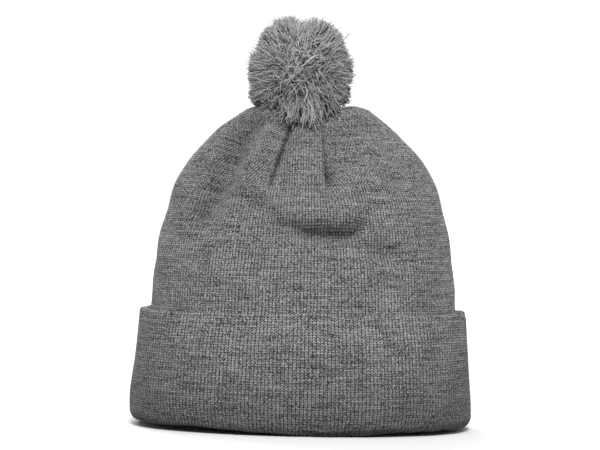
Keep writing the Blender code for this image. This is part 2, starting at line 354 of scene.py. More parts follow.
def hem_lift(x, y, z):
    """How far the hem rides up: its middle hangs lowest, and in front it rises to both sides of that."""
    left, right = smooth(-x, -0.004, 0.066), smooth(x, 0.020, 0.082)
    rise = np.where(x < 0, HEM_LIFT_LEFT * left, HEM_LIFT_RIGHT * right)
    rise = rise * (1 - 0.30 * smooth(np.abs(x), 0.080, 0.112))
    return rise * mix(0.30, 1.0, smooth(-y, -0.03, 0.03)) * fade(z, HEM_LIFT_HEIGHT)


def crown_face(u, angle):
    """The crown's outer face with its folds but without its stitches."""

    def plain(u, angle):
        wide, deep, height = crown_section(u)
        x, y = plan(wide, deep, angle)
        return np.stack([x, y, height - dimple(x, y)], -1)

    place = plain(u, angle)
    outwards = normals_of(plain, u, angle)
    x, y, z = np.moveaxis(place, -1, 0)
    place = place + outwards * (folds(x, y, z) - tuck(y, z))[..., None]
    place[..., 2] += hem_lift(x, y, z)
    return place


def normals_of(face, u, angle):
    """Directions out of a face, from its slopes along u and around."""
    step = 0.0015
    up = face(np.clip(u + step, 0, 1), angle) - face(np.clip(u - step, 0, 1), angle)
    around = face(u, angle + step) - face(u, angle - step)
    return unit_rows(np.cross(around, up))


def run_length(x, y):
    """The length along a line of points, from its first one."""
    return np.concatenate([[0], np.cumsum(np.hypot(np.diff(x), np.diff(y)))])


def arc_table(wide, deep, points=2880):
    """Angles around a plan outline, and the length along it from the right-hand side."""
    angle = np.linspace(0, 2 * pi, points + 1)
    return angle, run_length(*plan(wide, deep, angle))


# ---- meshes


def placed(name, data):
    """A new object in the scene."""
    made = bpy.data.objects.new(name, data)
    bpy.context.scene.collection.objects.link(made)
    return made


def mesh_object(name, points, faces, uv=None, tone=None):
    """A smooth mesh. faces are rows of four indices, and a row whose last two agree is a triangle."""
    faces = np.asarray(faces, np.int64)
    keep = np.ones((len(faces), 4), bool)
    keep[:, 3] = faces[:, 2] != faces[:, 3]
    corners = faces[keep]
    starts = np.cumsum(keep.sum(1)) - keep.sum(1)
    mesh = bpy.data.meshes.new(name)
    mesh.vertices.add(len(points))
    mesh.vertices.foreach_set("co", np.asarray(points, np.float32).ravel())
    mesh.loops.add(len(corners))
    mesh.loops.foreach_set("vertex_index", corners.astype(np.int32))
    mesh.polygons.add(len(faces))
    mesh.polygons.foreach_set("loop_start", starts.astype(np.int32))
    if uv is not None:
        layer = mesh.uv_layers.new(name="knit")
        layer.data.foreach_set("uv", np.asarray(uv, np.float32)[corners].ravel())
    if tone is not None:
        layer = mesh.attributes.new("tone", "FLOAT", "POINT")
        layer.data.foreach_set("value", np.asarray(tone, np.float32))
    mesh.update(calc_edges=True)
    mesh.validate()
    mesh.shade_smooth()
    return placed(name, mesh)


def grid_faces(index):
    """Quads over a grid of vertex indices, with collapsed cells made triangles or left out."""
    a, b = index[:-1, :-1].ravel(), index[:-1, 1:].ravel()
    c, d = index[1:, 1:].ravel(), index[1:, :-1].ravel()
    faces = quads(a, b, c, d)
    low, high = a == b, c == d
    faces[high] = quads(a, b, c, c)[high]
    faces[low] = quads(a, c, d, d)[low]
    return faces[~(low & high)]


def quads(*corners):
    """Rows of four indices, from arrays that stretch to one shape."""
    return np.stack(np.broadcast_arrays(*corners), -1).reshape(-1, 4)


def grid_object(name, points, wales, courses, turned_over=False, tone=None):
    """A mesh over a grid of points."""
    index = np.arange(wales.size).reshape(wales.shape)
    faces = grid_faces(index[:, ::-1] if turned_over else index)
    uv = np.stack([wales, courses], -1).reshape(-1, 2)
    return mesh_object(name, points.reshape(-1, 3), faces, uv, tone)


def stitch_relief(wale, course):
    """Height of the knit's face: rounded wales with grooves between, and a rise for each stitch."""
    across = np.abs(wale - np.floor(wale) - 0.5) * 2
    hole = 0.5 + 0.5 * np.cos(2 * pi * (course + LEG_SLANT * across))
    rib = 1 - across**RIB_ROUNDNESS * mix(0.40, 1.0, hole)
    return RIB_HEIGHT * rib + STITCH_HEIGHT * (1 - 2 * hole)


# ---- the crown


def crown_rows():
    """The crown's parameter at each row of the knit, evenly spaced along the cloth."""
    u = np.linspace(0.2, 1, 6000)
    wide, deep, height = crown_section(u)
    length = run_length((wide + deep) / 2, height)
    rising = slice(0, len(height) // 2)
    start = np.interp(BODY_START, height[rising], length[rising])
    count = int((length[-1] - start) / (BODY_COURSE / ROWS_PER_COURSE))
    return np.interp(np.linspace(start, length[-1], count + 1), length, u)


def dart_arc(place, hand, wide, deep, height):
    """Length along the plan from the middle of the front or back to a dart."""
    x = dart_x(place, hand, height, wide)
    xs, ys = plan(wide, deep, np.linspace(0, pi / 2, 721))
    length = run_length(xs, ys)
    return np.interp(x, xs[::-1], (length[-1] - length)[::-1])


class Quarter:
    """A quarter of the crown, row by row, as lengths along its plan."""

    def __init__(self, place, hand, rows):
        sections = [tuple(float(v) for v in crown_section(u)) for u in rows]
        heights = np.array([height for _, _, height in sections])
        self.tables = [arc_table(wide, deep) for wide, deep, _ in sections]
        self.lengths = np.array([lengths[len(lengths) // 4] for _, lengths in self.tables])
        self.darts = np.array([dart_arc(place, hand, *section) for section in sections])
        self.foot = int(np.searchsorted(heights, DART_FOOT_HEIGHT))
        self.level = np.searchsorted(heights, PITCH_HEIGHT)
        # Below the darts the panels keep the shares that they have at their feet
        foot = self.foot
        self.darts[:foot] = self.darts[foot] * self.lengths[:foot] / self.lengths[foot]
        self.below = np.arange(len(rows)) < foot
        self.rise = np.clip((heights - heights[foot]) / (heights.max() - heights[foot]), 0, 1)


def quarter_angle(place, left, turn):
    """The angle around the hat of a turn measured from the middle of a side, towards the front or back."""
    turn = np.where(left, pi - turn, turn)
    return -turn if place == "front" else turn


def side_panel(place, hand, rows):
    """From the middle of a side to a dart. Its wales run straight and end at the dart."""
    quarter = Quarter(place, hand, rows)
    reach = quarter.lengths - quarter.darts
    count = reach[quarter.level] / BODY_WALE
    above = reach[quarter.foot] / count * (1 + SIDE_SPREADING * quarter.rise)
    pitch = np.where(quarter.below, reach / count, above)
    limit = reach / pitch
    steps = int(np.ceil(limit.max() * COLUMNS_PER_WALE)) + 1
    columns = np.arange(steps) / COLUMNS_PER_WALE
    lines = []
    for k, (angles, lengths) in enumerate(quarter.tables):
        wale = np.append(columns[columns < limit[k] - SLIVER], limit[k])
        angle = quarter_angle(place, hand < 0, np.interp(wale * pitch[k], lengths, angles))
        lines.append((wale, angle, np.minimum(np.arange(steps + 1), len(wale) - 1)))
    name = f"knit_{place}_{'left' if hand < 0 else 'right'}"
    return knit_piece(name, rows, lines, (hand > 0) == (place == "front"), True)


def middle_panel(place, rows):
    """The narrow panel between two darts, with upright wales."""
    left, right = (Quarter(place, hand, rows) for hand in (-1, 1))
    scale = right.lengths / right.lengths[right.level]
    above = scale[right.foot] * (1 - MIDDLE_NARROWING * right.rise)
    pitch = BODY_WALE * np.where(right.below, scale, above)
    low, high = -left.darts / pitch, right.darts / pitch
    first = int(np.floor(low.min() * COLUMNS_PER_WALE)) - 1
    last = int(np.ceil(high.max() * COLUMNS_PER_WALE)) + 1
    columns = np.arange(first, last + 1) / COLUMNS_PER_WALE
    lines = []
    for k, (angles, lengths) in enumerate(right.tables):
        past = columns >= high[k] - SLIVER
        inside = (columns > low[k] + SLIVER) & ~past
        wale = np.concatenate([[low[k]], columns[inside], [high[k]]])
        turn = np.interp(right.lengths[k] - np.abs(wale) * pitch[k], lengths, angles)
        lines.append((wale, quarter_angle(place, wale < 0, turn), np.cumsum(inside) + past))
    return knit_piece(f"knit_{place}_middle", rows, lines, place == "back", False)


def knit_piece(name, rows, lines, turned_over, at_side):
    """A piece of the outer face, whose stitches stand out along the cloth's own normals.

    For each row, lines has its points' wales and angles, and which of those points each column uses.
    """
    sizes = [len(wale) for wale, _, _ in lines]
    starts = np.cumsum([0] + sizes[:-1])
    index = np.array([columns + start for (_, _, columns), start in zip(lines, starts)])
    row = np.repeat(np.arange(len(rows)), sizes)
    u, courses = rows[row], row / ROWS_PER_COURSE
    wales, angle = (np.concatenate([line[k] for line in lines]) for k in (0, 1))
    pattern = MIDDLE_PATTERN
    if at_side:
        wales = wales + 0.5  # the pieces meet in the middle of a wale at the hat's side
        pattern = SIDE_PATTERN * (1 + sum(map(ord, name)) % 7)
    height = stitch_relief(wales, courses)
    if at_side:
        height[index.max(1)] = 0
    height += rng.normal(0, UNEVENNESS, len(height))
    face = crown_face(u, angle)
    points = face + normals_of(crown_face, u, angle) * (height - RIB_HEIGHT)[:, None]
    faces = grid_faces(index[:, ::-1] if turned_over else index)
    uv = np.stack([wales + pattern, courses], 1)
    return mesh_object(name, points, faces, uv, painted_fold_shading(*face.T))


# ---- the cuff


def cuff_outline():
    """The cuff's cross-section, from inside the hat, around the fold, up, and over its free edge.

    Each row is (inset from the outer face, height, course, layer), where layer is 0 on the inner
    side of the fold, 0.5 around it, 1 on the outer face and 2 behind it.
    """
    radius = WALL + 0.0002
    inner_top, fold_courses, fold_steps = 0.020, 5, 16
    rows = []
    for height in np.linspace(inner_top, radius, 12):
        rows.append((2 * radius, height, -(height - radius) / CUFF_COURSE - fold_courses, 0))
    for turn in np.linspace(0, pi, fold_steps + 1)[1:]:
        inset, height = radius + radius * cos(turn), radius - radius * sin(turn)
        rows.append((inset, height, -fold_courses + turn / pi * fold_courses, 0.5))
    for height in np.arange(radius, CUFF_HEIGHT - 0.0011, CUFF_COURSE / ROWS_PER_COURSE)[1:]:
        rows.append((0.0, height, (height - radius) / CUFF_COURSE, 1))
    edge = rows[-1][1]
    half = WALL / 2
    steps, fullness = 8, 1.3  # of the rounded free edge
    for turn in np.linspace(0, pi, steps + 1)[1:]:
        rows.append((half - half * cos(turn), edge + sin(turn) * half * fullness, rows[-1][2] + 0.33, 1))
    behind_foot = 0.050
    course_step = (edge - behind_foot) / steps / CUFF_COURSE
    for height in np.linspace(edge, behind_foot, steps + 1)[1:]:
        rows.append((WALL, height, rows[-1][2] + course_step, 2))
    return np.array(rows)


def cuff_face(row, angle):
    """A point of the cuff's cross-section at an angle around the hat."""
    inset, height, _, layer = row
    share = np.clip(height / CUFF_HEIGHT, 0, 1)
    wide = mix(HEM_HALF[0], CUFF_TOP_HALF[0], share)
    deep = mix(HEM_HALF[1], CUFF_TOP_HALF[1], share)
    x, y = plan(1.0, 1.0, angle)
    lean = 0.0024 * smooth(share, 0.70, 1.0) * smooth(np.abs(y), 0.45, 0.9)
    if layer >= 1:
        inset = inset * (1 + 1.5 * smooth(np.abs(x), 0.55, 0.95) * smooth(height, 0.060, 0.072))
    out = -inset - lean - tuck(y * deep, height)
    around = 2.2 * x + 1.3 * y  # a different number at each place around the hat
    wobble = 0.0007 * drift(around, 21, 1.1) * smooth(height, 0.01, 0.05) * (layer >= 1)
    flare = 0.0016 * smooth(-x, 0.6, 0.95) * bump(height, 0.020, 0.020)
    px = x * (wide + out + wobble + flare)
    py = y * (deep + out + wobble)
    pz = np.full_like(angle, height)
    # The fold's outer side rides up a little right of the middle, and shows the inner side under it
    if 0.5 <= layer < 1 and inset < WALL:
        lifted = smooth(-py, 0.0, 0.03) * smooth(px, -0.008, 0.012) * smooth(-px, -0.085, -0.055)
        pz = pz + lifted * 0.0026 * smooth(WALL - inset, 0, 0.0012) * smooth(-height, -0.006, -0.002)
    pz = pz + 0.0005 * (drift(around, 8, 0.9) + 1.5) * smooth(-height, -0.03, 0.0)
    edge = 0.0011 * drift(around, 9, 1.3) * smooth(height, 0.04, CUFF_HEIGHT)
    return np.stack([px, py, pz + edge + hem_lift(px, py, height)], -1)


def cuff_piece(name, half):
    """The back half of the cuff (0) or the front half (1)."""
    outline = cuff_outline()
    angles, lengths = arc_table(*mix(HEM_HALF, np.array(CUFF_TOP_HALF), 0.5))
    total = lengths[-1]
    wales = 2 * round(total / CUFF_WALE / 2)
    share = np.arange(wales // 2 * COLUMNS_PER_WALE + 1) / COLUMNS_PER_WALE
    angle = np.interp(half * total / 2 + share * total / wales, lengths, angles)
    wale = share + half * (wales // 2) + 0.5  # the halves meet in the middle of a wale
    grid = np.stack([cuff_face(row, angle) for row in outline])
    outwards = unit_rows(np.cross(np.gradient(grid, axis=1), np.gradient(grid, axis=0)))
    lines, courses = np.meshgrid(wale, outline[:, 2])
    relief = stitch_relief(lines, courses)
    outer = (outline[:, 3] >= 0.5)[:, None]
    relief = np.where(outer, relief, relief * 0.5)
    relief = relief + rng.normal(0, UNEVENNESS, relief.shape)
    points = grid + outwards * (relief - RIB_HEIGHT)[..., None]
    # Painted shade: darker at the hem where the cloth curves under, and on both sides, which turn away from
    # the light
    dark = 0.27 * smooth(-grid[..., 2], -0.012, -0.002)
    dark = dark + 0.15 * smooth(np.abs(grid[..., 0]), 0.055, 0.105)
    uv = lines + CUFF_PATTERN[0], courses + CUFF_PATTERN[1]
    return grid_object(name, points, *uv, tone=dark.ravel())


def inner_face():
    """The purl side of the crown, seen from below through the opening."""
    u = np.concatenate([np.linspace(0.01, U_DOME, 50), np.linspace(U_DOME, 1, 130)[1:]])
    grid_u, grid_angle = np.meshgrid(u, np.linspace(0, 2 * pi, 361), indexing="ij")
    face = crown_face(grid_u, grid_angle)
    points = face - normals_of(crown_face, grid_u, grid_angle) * WALL
    points[:, -1] = points[:, 0]
    courses = 0 * grid_u + np.linspace(0, INSIDE_COURSES, len(u))[:, None]
    wales = grid_angle / (2 * pi) * INSIDE_WALES + INSIDE_PATTERN
    return grid_object("knit_inside", points, wales, courses, turned_over=True)


# ---- seams


def seam_piece(name, u, angle, radius):
    """A rolled and overcast seam allowance on the inner face, bunched up by its stitches."""
    gap, rings_per_stitch, swelling = 0.0004, 4, 0.12
    path = crown_face(u, angle) - normals_of(crown_face, u, angle) * (WALL + radius + gap)
    swell = 1 + swelling * np.sin(np.arange(len(u)) * 2 * pi / rings_per_stitch)
    ends = np.interp(np.linspace(0, 1, len(u)), [0, 0.03, 0.97, 1], [0.3, 1, 1, 0.3])
    return tubes(name, path[None], (radius * swell * ends)[None], 10, np.array([0.5]))


def dart_path(place, hand, rings):
    """Where a dart runs: the crown's parameter and the angle at evenly spaced heights."""
    u = np.linspace(0.42, 0.90, 2000)
    heights = crown_section(u)[2]
    u = u[(heights > DART_FOOT_HEIGHT + 0.001) & (u < 0.88)]
    u = np.interp(np.linspace(0, 1, rings), np.linspace(0, 1, len(u)), u)
    wide, deep, height = crown_section(u)
    x = dart_x(place, hand, height, wide) * hand
    angle = np.arccos(np.sign(x) * np.abs(x / wide) ** (PLAN_POWER / 2))
    return u, -angle if place == "front" else angle


# ---- yarn strands


def tubes(name, paths, radii, sides, tones):
    """Tubes along many paths at once: paths is (strands, rings, 3), radii is (strands, rings)."""
    strands, rings, _ = paths.shape
    along = unit_rows(np.gradient(paths, axis=1))
    helper = np.where(np.abs(along[:, :1, 2:3]) < 0.9, [0.0, 0.0, 1.0], [1.0, 0.0, 0.0])
    right = unit_rows(np.cross(along, np.broadcast_to(helper, along.shape)))
    up = np.cross(right, along)
    turn = (2 * pi * np.arange(sides) / sides)[:, None]
    spoke = right[:, :, None] * np.cos(turn) + up[:, :, None] * np.sin(turn)
    points = paths[:, :, None] + spoke * radii[:, :, None, None]
    tips = paths[:, -1] + along[:, -1] * radii[:, -1][:, None] * 0.6
    # Vertices come as all the rings, then all the tips, then all the roots
    per_strand = rings * sides
    strand = np.arange(strands)[:, None]
    side = np.arange(sides)
    after = (side + 1) % sides
    foot = strand * per_strand
    ring = foot[:, None] + np.arange(rings - 1)[:, None] * sides
    walls = quads(ring + side, ring + after, ring + sides + after, ring + sides + side)
    last = foot + (rings - 1) * sides
    tip = strands * per_strand + strand
    root = tip + strands
    caps = quads(last + side, last + after, tip, tip)
    feet = quads(foot + after, foot + side, root, root)
    # The UVs say how far around and how far along each vertex is
    step = np.linalg.norm(np.diff(paths, axis=1), axis=-1)
    length = np.concatenate([np.zeros((strands, 1)), np.cumsum(step, 1)], 1)
    uv = np.stack(np.broadcast_arrays(side / sides, length[:, :, None]), -1).reshape(-1, 2)
    tip_uv = np.stack([np.zeros(strands), length[:, -1]], -1)
    uv = np.concatenate([uv, tip_uv, np.zeros((strands, 2))])
    tone = np.concatenate([np.repeat(tones, per_strand), tones, tones])
    vertices = np.concatenate([points.reshape(-1, 3), tips, paths[:, 0]])
    return mesh_object(name, vertices, np.concatenate([walls, caps, feet]), uv, tone)


POM_MIDDLE = np.array([-0.0050, -0.0025, 0.2325])
POM_REACH = np.array([0.0340, 0.0300, 0.0362])
TUFTS = 120
BALL_STRANDS = 6300
FALLING_STRANDS = 580
BUNCHES = 50  # of falling strands
FIBRES = 2600
RINGS = 10  # along each strand
FIBRE_RADIUS = 0.00007
FOLDED_FROM = 1.2  # strands that start further down than this angle are folded up
LOWEST = radians(152)  # and end at most so far down, because the crown is below
GREATEST_LEAN = radians(58)  # how much nearer to the front or back a strand leaves the middle
CROWN_STEPS = 16  # halvings that find a place on the crown


def crown_height(x, y):
    """Height of the crown's outer face over a place in plan, found by halving."""
    low, high = np.full(x.shape, U_DOME), np.full(x.shape, 1.0)
    for _ in range(CROWN_STEPS):
        u = (low + high) / 2
        wide, deep, height = crown_section(u)
        outside = np.abs(x / wide) ** PLAN_POWER + np.abs(y / deep) ** PLAN_POWER > 1
        high = np.where(outside, u, high)
        low = np.where(outside, low, u)
    height = height - dimple(x, y)
    return height + puff(x, height)


def clear_of_crown(points, room):
    """Lifts points that lie in the crown's top up to its surface."""
    x, y, z = np.moveaxis(points, -1, 0)
    return np.stack([x, y, np.maximum(z, crown_height(x, y) + room)], -1)


def direction(around, down):
    """Directions by the angle around the ball and the angle down from its top."""
    flat = np.sin(down)
    return np.stack([np.cos(around) * flat, np.sin(around) * flat, np.cos(down)], 1)


def pom_directions(count):
    """Directions all around, drawn together into tufts, and folded up from where the crown is."""
    k = np.arange(count) + 0.5
    unit = direction(pi * (1 + 5**0.5) * k, np.arccos(1 - 2 * k / count))
    unit = unit_rows(unit + rng.normal(0, 0.06, unit.shape))
    tufts = unit_rows(rng.normal(size=(TUFTS, 3)))
    tuft = np.argmax(unit @ tufts.T, 1)
    pull = rng.uniform(0.05, 0.60, count)[:, None]
    unit = unit_rows(unit * (1 - pull) + tufts[tuft] * pull)
    down = np.arccos(np.clip(unit[:, 2], -1, 1))
    around = np.arctan2(unit[:, 1], unit[:, 0])
    folded = mix(FOLDED_FROM, LOWEST, (down - FOLDED_FROM) / (pi - FOLDED_FROM))
    return direction(around, np.where(down > FOLDED_FROM, folded, down)), tuft


def curl(paths, amount):
    """Bends strands into gentle waves that grow towards their tips."""
    count, rings, _ = paths.shape
    t = np.linspace(0, 1, rings)[None, :, None]
    for _ in range(2):
        way = rng.normal(0, 1, (count, 1, 3))
        phase = rng.uniform(0, 2 * pi, (count, 1, 1))
        turns = rng.uniform(1.2, 4.0, (count, 1, 1))
        wave = np.sin(t * pi * turns + phase) - np.sin(phase)
        paths = paths + way * wave * t**1.5 * amount[:, None, None]
    return paths


def curve_between(root, bend, tip, rings):
    """Smooth curves from root to tip, drawn towards bend."""
    t = np.linspace(0, 1, rings)[None, :, None]
    return root[:, None] * (1 - t) ** 2 + 2 * bend[:, None] * t * (1 - t) + tip[:, None] * t**2


def ball_tips(unit, size):
    """Where strands of the ball end: a trimmed ball, parted at its top and fuller at its top and bottom."""
    high = smooth(unit[:, 2], 0.80, 0.97)
    parting = 0.095 * bump(unit[:, 0], 0.03, 0.09)
    left_lobe = 0.035 * bump(unit[:, 0], -0.30, 0.16)
    size = size - parting * high + left_lobe * high
    tip = POM_MIDDLE + unit * POM_REACH * size[:, None]
    fuller = 0.07 * smooth(-unit[:, 2:3], 0.15, 0.60) + 0.16 * smooth(unit[:, 2:3], 0.55, 0.85)
    tip[:, :2] += (unit * POM_REACH)[:, :2] * fuller
    return tip, size


def ball_strands(count, rings):
    """Strands that leave the bound middle towards front or back, then splay out to a trimmed ball."""
    unit, tuft = pom_directions(count)
    size = 1 + rng.normal(0, 0.016, TUFTS)[tuft] + rng.normal(0, 0.013, count)
    tip, size = ball_tips(unit, size)
    facing = np.where(unit[:, 1] < 0, -1.0, 1.0)
    away = np.arccos(np.clip(np.abs(unit[:, 1]), 0, 1))  # angle from straight forwards or backwards
    lean = GREATEST_LEAN * np.sin(2 * away) * rng.uniform(0.4, 1.15, count)
    start = np.clip(away - lean, 0.0, pi / 2)
    early = unit_rows(unit * [1.0, 0.0, 1.0]) * np.sin(start)[:, None]
    early[:, 1] = facing * np.cos(start)
    middle = np.cos(away) ** 2 * np.where(facing < 0, 1.0, 0.4)  # tangled in front, tidier behind
    stray = rng.normal(0, 0.22, (TUFTS, 3))[tuft]
    stray = stray + np.clip(rng.normal(0, 0.15, early.shape), -0.25, 0.25)
    early = unit_rows(early + stray * (0.2 + 1.3 * middle)[:, None])
    bend = POM_MIDDLE + early * POM_REACH * (rng.uniform(0.80, 1.05, count) * size)[:, None]
    root = POM_MIDDLE + rng.normal(0, 0.0022, (count, 3))
    paths = curl(curve_between(root, bend, tip, rings), 0.0004 + 0.0024 * middle)
    return clear_of_crown(paths, -0.0010), tuft  # the ball's own weight presses its strands in


def crown_front(x, z):
    """The y of the crown's front face at a height on the shoulder."""
    u = np.linspace(U_DOME, U_TOP, 400)
    wide, deep, height = crown_section(u)
    share = np.clip(np.abs(x) / np.interp(z, height, wide), 0, 0.98)
    return -np.interp(z, height, deep) * (1 - share**PLAN_POWER) ** (1 / PLAN_POWER)


def falling_strands(count, rings):
    """Strands in front that hang over the crown's shoulder in small bunches, and end unevenly."""
    bunch = rng.integers(0, BUNCHES, count)
    x = rng.uniform(-0.0275, 0.0195, BUNCHES)[bunch]
    layer = rng.uniform(0, 1, BUNCHES)[bunch] ** 1.4  # 0 lies on the crown, 1 outermost and highest
    fan = 1.10 + rng.normal(0, 0.06, BUNCHES)[bunch]
    lowest, slope, flat_half = 0.1962, 0.50, 0.0072
    low = lowest + slope * np.maximum(np.abs(x * fan) - flat_half, 0) + 0.019 * layer
    low = low + rng.normal(0, 0.0013, count)
    spot = rng.normal(0, 0.0010, (count, 3))
    front = np.minimum(crown_front(x * fan, low) - 0.0020 - 0.0040 * layer, -0.022)
    tip = spot + np.stack([x * fan, front, low], 1)
    high = 0.210 + 0.014 * layer + rng.normal(0, 0.0030, BUNCHES)[bunch]
    bend = 1.5 * spot + np.stack([x * 0.85, np.minimum(front - 0.002, -0.034), high], 1)
    root = POM_MIDDLE + np.stack([x * 0.7, np.full(count, -0.010), -0.006 + 0.010 * layer], 1)
    paths = curl(curve_between(root, bend, tip, rings), np.full(count, 0.0013))
    return clear_of_crown(paths, 0.0008), rng.integers(0, TUFTS, BUNCHES)[bunch]


def pom_pom():
    """All the strands, in four pieces, with those at the middle of the front a little thicker."""
    ball, ball_tuft = ball_strands(BALL_STRANDS, RINGS)
    falling, falling_tuft = falling_strands(FALLING_STRANDS, RINGS)
    paths = np.concatenate([ball, falling])
    tips = paths[:, -1]
    near_middle = bump(tips[:, 0], POM_MIDDLE[0], 0.018) * (tips[:, 1] < -0.012)
    thick = rng.uniform(0.00032, 0.00043, len(paths)) + 0.00014 * near_middle
    taper = np.interp(np.linspace(0, 1, RINGS), [0, 0.25, 0.8, 1], [0.5, 1, 0.95, 0.65])
    radii = thick[:, None] * taper[None]
    tuft_tone = rng.uniform(0, 1, TUFTS)[np.concatenate([ball_tuft, falling_tuft])]
    tones = mix(rng.uniform(0, 1, len(paths)), tuft_tone, 0.45)
    tones[len(ball) :] *= 0.6  # the hanging strands lie in the ball's shade
    quarters = (tips[:, 0] > POM_MIDDLE[0]) + 2 * (tips[:, 1] > POM_MIDDLE[1])
    pieces = []
    for k, name in enumerate(("front_left", "front_right", "back_left", "back_right")):
        chosen = quarters == k
        pieces.append(tubes(f"pom_strands_{name}", paths[chosen], radii[chosen], 5, tones[chosen]))
    return pieces


def pom_fuzz():
    """Loose fibres that stand off the outer parts of strands."""
    whole_rings, inner_rings = 12, 7
    paths, _ = ball_strands(FIBRES, whole_rings)
    paths = paths[:, inner_rings:] + rng.normal(0, 0.0008, (FIBRES, 1, 3))
    paths = paths + np.cumsum(rng.normal(0, 0.00035, paths.shape), 1)
    paths = clear_of_crown(paths, 0.0003)
    taper = np.linspace(1, 0.5, whole_rings - inner_rings)
    radii = np.full((FIBRES, 1), FIBRE_RADIUS) * taper[None]
    return tubes("pom_fuzz", paths, radii, 3, rng.uniform(0.4, 1, FIBRES))


# ---- materials


class Value:
    """An output of a material's node, to reckon with like a number."""

    def __init__(self, nodes, socket):
        self.nodes = nodes
        self.socket = socket

    def __add__(self, other):
        return self.nodes.math("ADD", self, other)

    def __sub__(self, other):
        return self.nodes.math("SUBTRACT", self, other)

    def __rsub__(self, other):
        return self.nodes.math("SUBTRACT", other, self)

    def __mul__(self, other):
        return self.nodes.math("MULTIPLY", self, other)


class Nodes:
    """A short way to write a material's nodes."""

    def __init__(self, name, roughness, **sheen):
        self.material = bpy.data.materials.new(name)
        self.material.use_nodes = True
        self.tree = self.material.node_tree
        self.shader = self.tree.nodes["Principled BSDF"]
        self.set("Roughness", roughness)
        self.set("Specular IOR Level", 0.18)
        for key, value in sheen.items():
            self.set(f"Sheen {key}", value)

    def put(self, socket, value):
        if isinstance(value, Value):
            self.tree.links.new(value.socket, socket)
        elif isinstance(value, tuple) and len(value) < len(socket.default_value):
            socket.default_value = (*value, 1)
        else:
            socket.default_value = value

    def set(self, name, value):
        self.put(self.shader.inputs[name], value)

    def add(self, kind, output, settings=(), inputs=(), **named):
        made = self.tree.nodes.new("ShaderNode" + kind)
        for key, value in dict(settings).items():
            setattr(made, key, value)
        for key, value in [*dict(inputs).items(), *named.items()]:
            self.put(made.inputs[key], value)
        return Value(self, made.outputs[output])

    def math(self, operation, *values):
        return self.add("Math", 0, {"operation": operation}, dict(enumerate(values)))

    def spread(self, value, low, high, to_low=0.0, to_high=1.0):
        """to_low up to low, to_high from high on, and an even change between."""
        ends = {"From Min": low, "From Max": high, "To Min": to_low, "To Max": to_high}
        return self.add("MapRange", 0, {"interpolation_type": "SMOOTHSTEP"}, {"Value": value, **ends})

    def here(self):
        """The place on the object, in metres."""
        return self.add("TexCoord", "Object")

    def own(self, output):
        """The piece's UVs: X and Y are wales and courses on knit, around and along on a strand."""
        place = self.add("UVMap", 0, {"uv_map": "knit"})
        return place if output == "Vector" else self.add("SeparateXYZ", output, Vector=place)

    def tone(self):
        """The number that each vertex carries: on knit, how much painted shade darkens its folds, hem and
        sides, with a painted highlight below zero; on a strand, its own tone, lowered as painted shade on
        the hanging ones.
        """
        return self.add("Attribute", "Fac", {"attribute_name": "tone"})

    def noise(self, vector, scale, detail=2.0):
        return self.add("TexNoise", "Fac", Vector=vector, Scale=scale, Detail=detail)

    def one_per_cell(self, cell):
        return self.add("TexWhiteNoise", "Value", {"noise_dimensions": "2D"}, Vector=cell)

    def blend(self, share, first, second):
        return self.add("Mix", 2, {"data_type": "RGBA"}, {0: share, 6: first, 7: second})

    def scaled(self, colour, factor):
        return self.add("VectorMath", 0, {"operation": "SCALE"}, {0: colour, "Scale": factor})

    def relief(self, height, distance):
        self.set("Normal", self.add("Bump", 0, Height=height, Distance=distance, Strength=1.0))


def stitch_pattern(nodes):
    """Across a wale from its middle, along a stitch's leg, and a number for each leg."""
    wale, course = nodes.own("X"), nodes.own("Y")
    across = nodes.math("ABSOLUTE", nodes.math("FRACT", wale) - 0.5) * 2.0
    slanted = course + across * LEG_SLANT
    leg = nodes.math("SINE", nodes.math("FRACT", slanted) * pi)
    column, row = nodes.math("FLOOR", wale * 2.0), nodes.math("FLOOR", slanted)
    return across, leg, nodes.add("CombineXYZ", 0, X=column, Y=row)


def heather_knit(name, light, dark, hem_shade):
    """Marled yarn: a tone for each stitch, streaks along the courses, and flecks in the fibre."""
    nodes = Nodes(name, 0.92, Weight=0.05, Roughness=0.55, Tint=(0.75, 0.76, 0.78))
    across, leg, cell = stitch_pattern(nodes)
    here = nodes.here()
    along_courses = {0: nodes.own("Vector"), 1: (0.10, 0.9, 1.0)}
    stretched = nodes.add("VectorMath", 0, {"operation": "MULTIPLY"}, along_courses)
    fibre = nodes.noise(here, 1300.0)
    tone = (nodes.one_per_cell(cell) - 0.5) * 0.25
    tone = tone + (nodes.noise(stretched, 0.9, 3.0) - 0.5) * 0.92
    tone = tone + (nodes.noise(here, 55.0, 3.0) - 0.5) * 0.30
    tone = tone + (fibre - 0.5) * 2.6
    colour = nodes.blend(nodes.spread(tone + 0.5, -0.1, 1.1), dark, light)
    # Painted shade: dark between the wales, deepest at the hole beside each leg, darker at each leg's ends
    # and along each wale's middle, between its two legs
    gap = nodes.spread(across, 0.40, 0.80)
    hole = nodes.spread(leg, 0.25, 0.90, 1.0, 0.44)
    shade = 1.0 - gap * hole * 0.97
    shade = shade * nodes.spread(leg, 0.0, 0.70, 0.46, 1.20)
    shade = shade * nodes.spread(across, 0.0, 0.28, 0.50, 1.0)
    # Painted shade in the folds and on the cuff's hem and sides, with painted highlight where the tone is
    # below zero
    shade = shade * (1.0 - nodes.tone() * 0.88)
    # Painted shade towards the hem, deepest at its fold, where the cuff curves under away from the light
    if hem_shade < 1:
        height = nodes.add("SeparateXYZ", "Z", Vector=here)
        fold = nodes.spread(height, 0.0, 0.012, 0.86, 1.0)
        shade = shade * (fold * nodes.spread(height, 0.0, 0.070, hem_shade, 1.0))
    nodes.set("Base Color", nodes.scaled(colour, shade))
    # Each leg is a rounded yarn
    side = nodes.math("POWER", nodes.math("DIVIDE", across - 0.42, 0.58), 2.0)
    nodes.relief((1.0 - side * 0.8) * (leg * 0.55 + 0.45) + fibre * 0.5, 0.00035)
    return nodes.material


